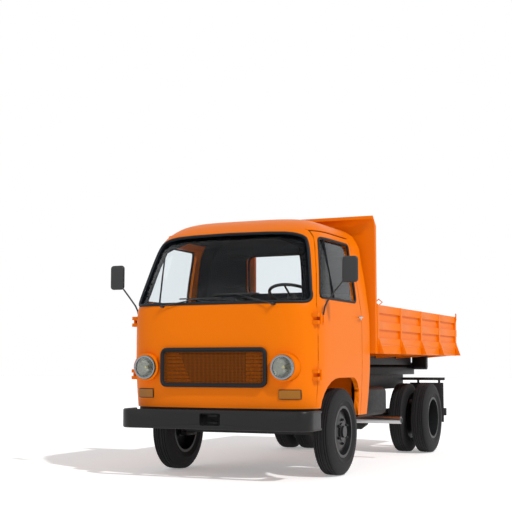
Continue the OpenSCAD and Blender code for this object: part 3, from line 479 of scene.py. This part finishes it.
def upright(x0, z0, x1, z1):
    # corners of an upright rectangle, from its lower left
    return [Vector(corner) for corner in ((x0, z0), (x1, z0), (x1, z1), (x0, z1))]


rearHalf = gasketSizes["rearHalf"]
rearCorners = upright(-rearHalf, gasketSizes["rearFoot"], rearHalf, gasketSizes["rearTop"])
rearLine = spread(roundCorners(rearCorners, gasketSizes["rearRound"]), 0.06)
rearPath = [atCab(p.x, cabSection(p.y)[2], p.y) for p in rearLine]
bead("rear_gasket", rearPath, gasketSizes["rearRadius"], sealRubber, "chassis", closed=True)
print("gaskets laid")

# grille: dark rubber frame, square wire mesh, radiator behind
# enamel on the wire, darkened to a dull brown as painted shade
shadedMeshPaint = newMaterial("mesh_enamel_painted_shade", "#8E4A0C", Roughness=0.7, Specular_IOR_Level=0.1)
grilleSizes = {"halfWidth": 0.496, "foot": 0.787, "height": 0.321, "front": -0.872, "round": 0.05, "gasket": 0.015,
               "gasketIn": 0.006, "pitch": 0.0125, "wire": 0.0024, "meshIn": 0.03, "sheetIn": 0.02, "sheetY": -0.801,
               "sheet": 0.004, "radiatorY": -0.79}
gx, gz, gh = grilleSizes["halfWidth"], grilleSizes["foot"], grilleSizes["height"]
lip, pitch, wire = grilleSizes["gasketIn"], grilleSizes["pitch"], grilleSizes["wire"]
frameLine = roundCorners(upright(-gx + lip, gz + lip, gx - lip, gz + gh - lip), grilleSizes["round"])
framePath = [atCab(p.x, grilleSizes["front"], p.y) for p in frameLine]
bead("grille_gasket", framePath, grilleSizes["gasket"], sealRubber, "chassis", closed=True)
inX, inZ = gx - grilleSizes["meshIn"], gh / 2 - grilleSizes["meshIn"]
midZ = gz + gh / 2
acrossCount, upCount = int(inX / pitch), int(inZ / pitch)
bars = [(k * pitch, midZ, wire, inZ * 2 + 0.02) for k in range(-acrossCount, acrossCount + 1)]
bars += [(0, midZ + k * pitch, inX * 2 + 0.02, wire) for k in range(-upCount, upCount + 1)]
meshBars = []
for x, z, w, h in bars:
    bpy.ops.object.select_all(action="DESELECT")
    bpy.ops.mesh.primitive_cube_add(size=1, location=atCab(x, grilleSizes["front"] + 0.006, z))
    bpy.context.object.scale = (w, 0.005 if w < h else 0.004, h)
    meshBars.append(bpy.context.object)
finishPiece(joinPieces(meshBars), "grille_mesh", shadedMeshPaint, "chassis")
# the radiator's face, in the brown-black painted shade
bpy.ops.object.select_all(action="DESELECT")
bpy.ops.mesh.primitive_cube_add(size=1, location=atCab(0, grilleSizes["radiatorY"], midZ))
bpy.context.object.scale = (gx * 2 - 0.02, 0.02, gh - 0.02)
finishPiece(bpy.context.object, "radiator_face", shadedRadiatorPaint, "chassis")
# orange sheet at both ends behind the mesh, and the radiator's dark tank between
endX, low, high = gx - grilleSizes["sheetIn"], gz + grilleSizes["sheetIn"], gz + gh - grilleSizes["sheetIn"]
backSheets = {"grille_sheet_right": [(-endX, low), (-0.235, low), (-0.369, high), (-endX, high)],
              "grille_sheet_left": upright(0.28, low, endX, high),
              "radiator_tank": upright(0.057, low, 0.275, 0.931)}
for name, outline in backSheets.items():
    mat, slot = (chassisPaint, "chassis_black") if name == "radiator_tank" else (enamel, "orange_paint")
    places = [atCab(x, grilleSizes["sheetY"], z) for x, z in outline]
    sheetPiece(name, places, [(0, 1, 2, 3)], grilleSizes["sheet"], 0.0, mat)
print("grille made")


def turned(name, profile, centre, mat, body, steps=64, node=None):
    # a profile of (radius, place along Y) spun about an axis along Y through centre
    mesh = bpy.data.meshes.new(name)
    mesh.from_pydata([(0, a, r) for r, a in profile], [(i, i + 1) for i in range(len(profile) - 1)], [])
    obj = newObject(name, mesh)
    bpy.ops.object.mode_set(mode="EDIT")
    bpy.ops.mesh.select_all(action="SELECT")
    bpy.ops.mesh.spin(steps=steps, angle=math.tau, center=(0, 0, 0), axis=(0, 1, 0))
    bpy.ops.mesh.select_all(action="SELECT")
    bpy.ops.mesh.remove_doubles(threshold=0.00005)
    bpy.ops.mesh.normals_make_consistent(inside=False)
    bpy.ops.object.mode_set(mode="OBJECT")
    obj.location = centre
    return finishPiece(obj, name, mat, body, node)


# headlamps: chrome ring, domed lens, bright bowl behind it
lampSizes = {"x": 0.650, "z": 0.949, "front": -0.905, "lens": 0.092, "ring": 0.106, "dome": 0.014, "bowl": 0.05}
bowlMetal = newMaterial("silvered_bowl", "#8D8F84", Metallic=1.0, Roughness=0.22)
for side, sign in bothSides:
    at = (sign * lampSizes["x"], lampSizes["front"] + frontAxleY, lampSizes["z"])
    r, q = lampSizes["lens"], lampSizes["ring"]
    ring = [(r - .006, .020), (r - .006, .006), (r + .002, .001), (q - .004, .006), (q, .016), (q, .028),
            (r - .006, .028), (r - .006, .020)]
    turned("lamp_ring_" + side, ring, at, chrome, "chassis")
    dome = [(0.0001 + (r - .002) * k / 8, -.002 + lampSizes["dome"] * (k / 8) ** 2) for k in range(9)]
    lens = dome + [(x, y + .004) for x, y in reversed(dome)]
    turned("lamp_lens_" + side, lens, at, lampGlass, "chassis", node="headlamps" if sign > 0 else None)
    bowl = [(0.0001 + (r - .006) * k / 8, .07 - lampSizes["bowl"] * (k / 8) ** 2) for k in range(9)]
    bowl += [(r - .004, .022), (r - .004, .08), (0.0001, .082)]
    turned("lamp_bowl_" + side, bowl, at, bowlMetal, "chassis")
print("headlamps made")

# tyres: rounded shoulders, ribbed tread, a raised ring on the wall
tyreSizes = {"radius": 0.381, "width": 0.184, "tread": 0.132, "bead": 0.216, "rim": 0.154}


def tyreProfile():
    # (radius, place along the axle), from the inner bead over the tread to the outer one
    top, wall, tread = tyreSizes["radius"], tyreSizes["width"] / 2, tyreSizes["tread"] / 2
    seat, rim = tyreSizes["bead"], tyreSizes["rim"] / 2
    half = [(top - .009, 0.009), (top, 0.012), (top, 0.014), (top, 0.022), (top - .009, 0.024), (top - .009, 0.030),
            (top - .001, 0.032), (top - .0015, 0.044), (top - .010, 0.046), (top - .010, 0.051), (top - .002, 0.053),
            (top - .004, tread - .003), (top - .009, tread + .003), (top - .018, tread + .009),
            (top - .040, tread + .018), (top - .065, wall - .003), (top - .085, wall), (top - .100, wall - .001),
            (top - .104, wall + .001), (top - .110, wall + .001), (top - .114, wall - .003),
            (top - .140, wall - .012), (top - .156, wall - .022), (seat + .004, rim - .008), (seat - .001, rim - .016)]
    return [(r, -a) for r, a in reversed(half)] + half + [(seat - .001, -rim + .016)]


def turnSideways(obj, place):
    # an axis along Y becomes an axis along X
    data = obj.data
    co = np.empty(len(data.vertices) * 3)
    data.vertices.foreach_get("co", co)
    co = co.reshape(-1, 3)
    data.vertices.foreach_set("co", (np.column_stack([co[:, 1], -co[:, 0], co[:, 2]]) + np.array(place)).ravel())
    data.update()


def tyre(name, x, y, body, node):
    obj = turned(name, tyreProfile(), (0, 0, 0), tyreRubber, body, steps=96)
    turnSideways(obj, (x, y, tyreSizes["radius"]))
    if node:
        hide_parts(node)
    return obj


wheelPlaces = {"frontTrack": 0.786, "rearOuter": 0.828, "rearInner": 0.577, "rearY": 1.340}
for side, sign in bothSides:
    frontBody, rearBody, rearY = "wheel_front_" + side, "wheels_rear_" + side, wheelPlaces["rearY"]
    tyre("tread_front_" + side, sign * wheelPlaces["frontTrack"], frontAxleY, frontBody, "tyre_front_" + side)
    tyre("tread_rear_outer_" + side, sign * wheelPlaces["rearOuter"], rearY, rearBody, "tyres_rear_" + side)
    tyre("tread_rear_inner_" + side, sign * wheelPlaces["rearInner"], rearY, rearBody, None)
print("tyres made")


def roundedBox(name, low, high, radius, mat, body, node=None, segments=3, corner=0.0):
    bpy.ops.object.select_all(action="DESELECT")
    low, high = Vector(low), Vector(high)
    bpy.ops.mesh.primitive_cube_add(size=1, location=(low + high) / 2)
    obj = bpy.context.object
    obj.scale = high - low
    bpy.ops.object.transform_apply(location=False, rotation=False, scale=True)
    if corner:
        # round the outline seen from the front, then its rim
        bpy.ops.object.mode_set(mode="EDIT")
        bpy.ops.mesh.select_mode(type="EDGE")
        bpy.ops.mesh.select_all(action="DESELECT")
        bpy.ops.object.mode_set(mode="OBJECT")
        for edge in obj.data.edges:
            a, b = (obj.data.vertices[i].co for i in edge.vertices)
            edge.select = abs(a.y - b.y) > 0.5 * (high.y - low.y)
        bpy.ops.object.mode_set(mode="EDIT")
        bpy.ops.mesh.bevel(offset=corner, segments=7, affect="EDGES")
        bpy.ops.object.mode_set(mode="OBJECT")
        rim = obj.modifiers.new("rim", "BEVEL")
        rim.width, rim.segments, rim.limit_method, rim.angle_limit = radius, segments, "ANGLE", math.radians(60)
        bpy.ops.object.modifier_apply(modifier="rim")
    else:
        bpy.ops.object.mode_set(mode="EDIT")
        bpy.ops.mesh.select_all(action="SELECT")
        bpy.ops.mesh.bevel(offset=radius, segments=segments, affect="EDGES")
        bpy.ops.object.mode_set(mode="OBJECT")
    return finishPiece(obj, name, mat, body, node)


# wheel nuts on their studs
nutSizes = {"count": 6, "circle": 0.104, "size": 0.014, "frontFace": 0.844, "rearFace": 0.7145}


def nutRing(name, x, y, sign, body):
    nuts = []
    size, z = nutSizes["size"], tyreSizes["radius"]
    for k in range(nutSizes["count"]):
        a = math.tau * (k + 0.5) / nutSizes["count"]
        across, up = nutSizes["circle"] * math.cos(a), nutSizes["circle"] * math.sin(a)
        for r, h, corners in ((size, size * 1.1, 6), (size * 0.55, size * 1.9, 12)):
            bpy.ops.object.select_all(action="DESELECT")
            bpy.ops.mesh.primitive_cylinder_add(vertices=corners, radius=r, depth=h, rotation=(0, math.pi / 2, 0),
                                                location=(x + sign * h / 2, y + across, z + up))
            nuts.append(bpy.context.object)
    return finishPiece(joinPieces(nuts), name, wheelPaint, body)


for side, sign in bothSides:
    nutRing("nuts_front_" + side, sign * nutSizes["frontFace"], frontAxleY, sign, "wheel_front_" + side)
    nutRing("nuts_rear_" + side, sign * nutSizes["rearFace"], wheelPlaces["rearY"], sign, "wheels_rear_" + side)

# mirrors: moulded shell, glass facing back, bent arm from the door's upper hinge
mirrorSizes = {"x": 1.135, "y": -0.565, "z": 1.770, "halfWide": 0.07, "halfHigh": 0.112, "depth": 0.017, "rim": 0.012,
               "armRadius": 0.0075,
               "arm": [(0.896, -0.575, 1.33), (0.898, -0.575, 1.40), (0.912, -0.577, 1.46), (0.935, -0.579, 1.505),
                       (1.0, -0.578, 1.585), (1.09, -0.575, 1.69), (1.12, -0.572, 1.74), (1.13, -0.57, 1.79)],
               "footX": (0.876, 0.907), "footY": (-0.5895, -0.560), "footZ": (1.322, 1.388)}
# door handle and drip rail, from the front axle
handleSizes = {"y": 0.355, "z": 1.405, "radius": 0.0075, "button": 0.02}
railSizes = {"z": 2.150, "front": -0.40, "rear": 0.40, "radius": 0.006}
for side, sign in bothSides:
    door = "door_" + side
    mx, my, mz, depth = sign * mirrorSizes["x"], mirrorSizes["y"], mirrorSizes["z"], mirrorSizes["depth"]
    wide, tall, rim = mirrorSizes["halfWide"], mirrorSizes["halfHigh"], mirrorSizes["rim"]
    roundedBox("mirror_shell_" + side, atCab(mx - wide, my - depth, mz - tall), atCab(mx + wide, my + depth, mz + tall),
               0.014, blackPlastic, door, "mirror_" + side, 4, 0.03)
    roundedBox("mirror_glass_" + side, atCab(mx - wide + rim, my + depth - .002, mz - tall + rim),
               atCab(mx + wide - rim, my + depth + .002, mz + tall - rim), 0.0015, mirrorGlass, door,
               None, 2, 0.022)
    arm = [atCab(sign * x, y, z) for x, y, z in mirrorSizes["arm"]]
    bead("mirror_arm_" + side, arm, mirrorSizes["armRadius"], blackPlastic, door)
    footX = sorted(sign * x for x in mirrorSizes["footX"])
    footLow, footHigh = (atCab(footX[k], mirrorSizes["footY"][k], mirrorSizes["footZ"][k]) for k in (0, 1))
    roundedBox("mirror_foot_" + side, footLow, footHigh, 0.004, enamel, door)
    hy, hz = handleSizes["y"], handleSizes["z"]
    hx = cabSideX(hy, hz)
    grip = [(hx + .004, hy + .045, hz), (hx + .024, hy + .04, hz), (hx + .030, hy + .01, hz),
            (hx + .030, hy - .05, hz - .004), (hx + .024, hy - .07, hz - .006)]
    gripPath = [atCab(sign * x, y, z) for x, y, z in grip]
    bead("door_handle_" + side, gripPath, handleSizes["radius"], brightSteel, door)
    button = [atCab(sign * (hx + out), hy + .045, hz - .006) for out in (-.004, .008)]
    bead("lock_button_" + side, button, handleSizes["button"], brightSteel, door)
    railZ = railSizes["z"]
    rail = [atCab(sign * (cabSideX(y, railZ) + .003), y, railZ)
            for y in np.linspace(railSizes["front"], railSizes["rear"], 18)]
    bead("drip_rail_" + side, rail, railSizes["radius"], enamel, "chassis")
print("mirrors, handles and rails made")

# seats: crowned cushions with sewn channels
seatSizes = {"x": 0.5875, "baseAt": (0.02, 1.0), "base": (0.43, 0.50, 0.20), "baseLean": 3, "baseCrown": 0.018,
             "backAt": (0.345, 1.37), "back": (0.43, 0.50, 0.10), "backLean": 73, "backCrown": 0.010,
             "channels": 4, "channel": 0.010, "waist": 0.012, "boxHalf": 0.19, "boxY": (-0.18, 0.26),
             "boxZ": (0.8905, 0.91)}


def soft(a, b):
    return (1 - abs(a) ** 6) * (1 - abs(b) ** 6)


def cushion(centre, size, lean, crown):
    bpy.ops.object.select_all(action="DESELECT")
    bpy.ops.mesh.primitive_cube_add(size=1, location=(0, 0, 0))
    obj = bpy.context.object
    bpy.ops.object.mode_set(mode="EDIT")
    bpy.ops.mesh.select_all(action="SELECT")
    bpy.ops.mesh.subdivide(number_cuts=23)
    bpy.ops.object.mode_set(mode="OBJECT")
    cosTurn, sinTurn = math.cos(math.radians(lean)), math.sin(math.radians(lean))
    for v in obj.data.vertices:
        x, y, z = v.co * 2
        px, py, pz = x * size[0] / 2, y * size[1] / 2, z * size[2] / 2
        pz += crown * z * soft(x, y)
        if z > 0.9 and abs(y) < 0.85:
            pz -= seatSizes["channel"] * max(0, math.cos(seatSizes["channels"] * math.pi * x)) ** 12
        px -= seatSizes["waist"] * x * (1 - abs(y)) * (abs(z) ** 2)
        py += crown * 0.6 * y * soft(x, z)
        edge = sum(abs(c) > 0.86 for c in (x, y, z))
        if edge > 1:
            pull = 1 - 0.02 * (edge - 1)
            px, py, pz = px * pull, py * pull, pz * pull
        v.co = Vector((px, py * cosTurn - pz * sinTurn, py * sinTurn + pz * cosTurn)) + Vector(centre)
    smooth = obj.modifiers.new("soft", "SUBSURF")
    smooth.levels = smooth.render_levels = 1
    bpy.ops.object.modifier_apply(modifier="soft")
    return obj


for side, sign in reversed(bothSides):
    x = sign * seatSizes["x"]
    seat = cushion(atCab(x, *seatSizes["baseAt"]), seatSizes["base"], seatSizes["baseLean"], seatSizes["baseCrown"])
    finishPiece(seat, "seat_base_" + side, seatVinyl, "chassis",
                                  "seats" if sign > 0 else None, 60)
    back = cushion(atCab(x, *seatSizes["backAt"]), seatSizes["back"], seatSizes["backLean"], seatSizes["backCrown"])
    finishPiece(back, "seat_back_" + side, seatVinyl, "chassis", None, 60)
    boxLow, boxHigh = (atCab(x + out * seatSizes["boxHalf"], seatSizes["boxY"][k], seatSizes["boxZ"][k])
                       for k, out in ((0, -1), (1, 1)))
    roundedBox("seat_box_" + side, boxLow, boxHigh, 0.006, blackPlastic, "chassis")
print("seats made")

# tail lamps: black housing, red and amber lens facing back
tailSizes = {"x": (0.750, 0.925), "y": (3.337, 3.380), "z": (0.385, 0.470), "rim": 0.006, "round": 0.005}
(tailIn, tailOut), (tailFront, tailBack), (tailFoot, tailTop) = (tailSizes[axis] for axis in "xyz")


def slab(name, side, sign, across, along, rim, mat, node=None):
    xs = sorted(sign * x for x in across)
    return roundedBox(name + side, atCab(xs[0], along[0], tailFoot + rim), atCab(xs[1], along[1], tailTop - rim),
                      tailSizes["round"], mat, "chassis", node)


for side, sign in bothSides:
    rim, lensAlong = tailSizes["rim"], (tailBack - 0.014, tailBack)
    slab("tail_housing_", side, sign, (tailIn, tailOut), (tailFront, tailBack - 0.012), 0, blackPlastic,
         "tail_lamps" if sign > 0 else None)
    slab("tail_red_", side, sign, (tailIn + rim, tailIn + .108), lensAlong, rim, redLens)
    slab("tail_amber_", side, sign, (tailIn + .112, tailOut - rim), lensAlong, rim, amberLens)

# bed fittings: rings at the headboard's feet, hooks at the rear corners, seam of the folded lower panel
bedSizes = {"ringAt": (0.908, 0.907, 1.572), "ring": [(0.0, 0.03), (0.036, 0.0), (0.0, -0.03), (-0.036, 0.0)],
            "hook": [(0.934, 3.80, 1.45), (0.942, 3.80, 1.50), (0.942, 3.808, 1.545), (0.938, 3.83, 1.565),
                     (0.93, 3.855, 1.580)],
            "seam": [(0.9305, 0.80, 1.168), (0.9305, 3.83, 1.168)],
            "ringRadius": 0.006, "hookRadius": 0.008, "seamRadius": 0.003}
for side, sign in bothSides:
    rx, ry, rz = bedSizes["ringAt"]
    ring = [atCab(sign * rx + a, ry, rz + b) for a, b in bedSizes["ring"]]
    hook, seam = ([atCab(sign * x, y, z) for x, y, z in bedSizes[part]] for part in ("hook", "seam"))
    bead("sheet_ring_" + side, ring, bedSizes["ringRadius"], enamel, "bed", closed=True)
    bead("gate_hook_" + side, hook, bedSizes["hookRadius"], enamel, "bed")
    bead("board_seam_" + side, seam, bedSizes["seamRadius"], enamel, "bed")

# bumper: rounded lip along its top and foot
bumperSizes = {"halfWidth": 0.895, "front": -0.925, "corner": 0.12, "rear": -0.64, "low": 0.433, "high": 0.582,
               "lip": 0.012, "lipIn": 0.004, "lipDraw": 0.99}


def bumperLine(z):
    w, f, r = bumperSizes["halfWidth"], bumperSizes["front"], bumperSizes["corner"]
    half = [(w, bumperSizes["rear"])]
    half += [(w - r + r * math.cos(a), f + r - r * math.sin(a)) for a in np.linspace(0, math.pi / 2, 10)]
    line = half + [(-x, y) for x, y in reversed(half)]
    return [atCab(x * bumperSizes["lipDraw"], y + bumperSizes["lip"], z) for x, y in line]


for name, z in (("bumper_lip_top", bumperSizes["high"] - bumperSizes["lipIn"]),
                ("bumper_lip_foot", bumperSizes["low"] + bumperSizes["lipIn"])):
    bead(name, bumperLine(z), bumperSizes["lip"], bumperPaint, "chassis")
# dark apron that closes the gap between nose and bumper, a dark sheet standing in for the shade in the gap
apronSizes = {"inset": 0.014, "low": 0.545, "high": 0.612, "skinZ": 0.62, "rear": -0.585, "turn": -0.74,
              "flankSteps": 8, "frontSteps": 24, "sheet": 0.003}
inset, skinZ = apronSizes["inset"], apronSizes["skinZ"]
flankY = np.linspace(apronSizes["rear"], apronSizes["turn"], apronSizes["flankSteps"])
halfApron = [(cabSideX(y, skinZ, inset), y) for y in flankY]
halfApron += [(x, cabFrontY(x, skinZ, inset)) for x in np.linspace(halfApron[-1][0], 0, apronSizes["frontSteps"])]
apronLine = halfApron + [(-x, y) for x, y in reversed(halfApron[:-1])]
apronPlaces = [atCab(x, y, z) for z in (apronSizes["low"], apronSizes["high"]) for x, y in apronLine]
count = len(apronLine)
apronFaces = [(i, i + 1, count + i + 1, count + i) for i in range(count - 1)]
sheetPiece("nose_gap_shade_sheet", apronPlaces, apronFaces, apronSizes["sheet"], -1.0, chassisPaint)
# dark sheet behind the tow recess, standing in for the shade in it
towSizes = {"low": (-0.32, -0.797, 0.442), "high": (0.14, -0.793, 0.578), "round": 0.001}
roundedBox("tow_recess_shade_sheet", atCab(*towSizes["low"]), atCab(*towSizes["high"]), towSizes["round"], chassisPaint,
           "chassis")
print("bed and bumper fittings made")

# indicators: dark rubber round each amber lens
sealSizes = {"low": (0.598, 0.689), "high": (0.768, 0.759), "proud": 0.003, "radius": 0.006, "step": 0.02}
for side, sign in bothSides:
    sealLine = spread(upright(*sealSizes["low"], *sealSizes["high"]), sealSizes["step"])
    seal = [atCab(sign * x, cabFrontY(x, z) - sealSizes["proud"], z) for x, z in sealLine]
    bead("indicator_seal_" + side, seal, sealSizes["radius"], sealRubber, "chassis", closed=True)
# yellowish bulbs behind the headlamps' lenses
bulbGlass = newMaterial("bulb_glass", "#E8D9A0", Roughness=0.2)
bulbSizes = {"back": 0.05, "steps": 20, "profile": [(0.0001, -.022), (.010, -.018), (.014, -.008), (.012, .004),
                                                    (.008, .016), (0.0001, .016)]}
for side, sign in bothSides:
    at = (sign * lampSizes["x"], lampSizes["front"] + frontAxleY + bulbSizes["back"], lampSizes["z"])
    turned("lamp_bulb_" + side, bulbSizes["profile"], at, bulbGlass, "chassis", steps=bulbSizes["steps"])
print("lamps finished")

# camera at the photograph's angle
photoView = {"place": (4.184, -10.768, 0.9716), "turn": (95.654, 0, 24.253), "lens": 77.10}
camData = bpy.data.cameras.new("photoCamera")
camData.lens = photoView["lens"]
camData.sensor_width = 36
camData.clip_end = 200
camera = bpy.data.objects.new("photoCamera", camData)
camera.location = photoView["place"]
camera.rotation_euler = [math.radians(a) for a in photoView["turn"]]
bpy.context.scene.collection.objects.link(camera)
bpy.context.scene.camera = camera

# pale floor, one sun and a weak fill, white all round
stageSizes = {"floor": 120, "drop": -0.002, "glow": 0.3, "ambient": 0.34, "backdrop": 1.0}
bpy.ops.object.select_all(action="DESELECT")
bpy.ops.mesh.primitive_plane_add(size=stageSizes["floor"], location=(0, 0, stageSizes["drop"]))
floor = bpy.context.object
floor.name = "studio_floor"
floorPaper = newMaterial("studio_paper", "#FFFFFF", Roughness=0.9, Emission_Color=(1, 1, 1, 1),
                         Emission_Strength=stageSizes["glow"])
floor.data.materials.append(floorPaper)
world = bpy.data.worlds.new("studio")
bpy.context.scene.world = world
world.use_nodes = True
links = world.node_tree.links
surround = world.node_tree.nodes["Background"]
surround.inputs["Color"].default_value = (1, 1, 1, 1)
# full white for what is seen, glossed or looked through, weaker as light
paths = addNode(world, "ShaderNodeLightPath")
shown = paths.outputs["Is Camera Ray"]
for ray in ("Is Transmission Ray", "Is Glossy Ray"):
    either = addNode(world, "ShaderNodeMath", {"operation": "MAXIMUM"})
    links.new(shown, either.inputs[0])
    links.new(paths.outputs[ray], either.inputs[1])
    shown = either.outputs["Value"]
strength = addNode(world, "ShaderNodeMapRange", {"To Min": stageSizes["ambient"], "To Max": stageSizes["backdrop"]},
                   {"Value": shown})
links.new(strength.outputs["Result"], surround.inputs["Strength"])
# turn in degrees, power, softness
studioSuns = {"key": ((46, 0, 64), 2.15, 0.03), "fill": ((60, 0, -30), 0.2, 0.6)}
for name, (turn, power, softness) in studioSuns.items():
    lampData = bpy.data.lights.new(name, "SUN")
    lampData.energy = power
    lampData.angle = softness
    lamp = bpy.data.objects.new(name, lampData)
    lamp.rotation_euler = [math.radians(a) for a in turn]
    bpy.context.scene.collection.objects.link(lamp)
bpy.context.scene.view_settings.view_transform = "Standard"
print("stage ready")
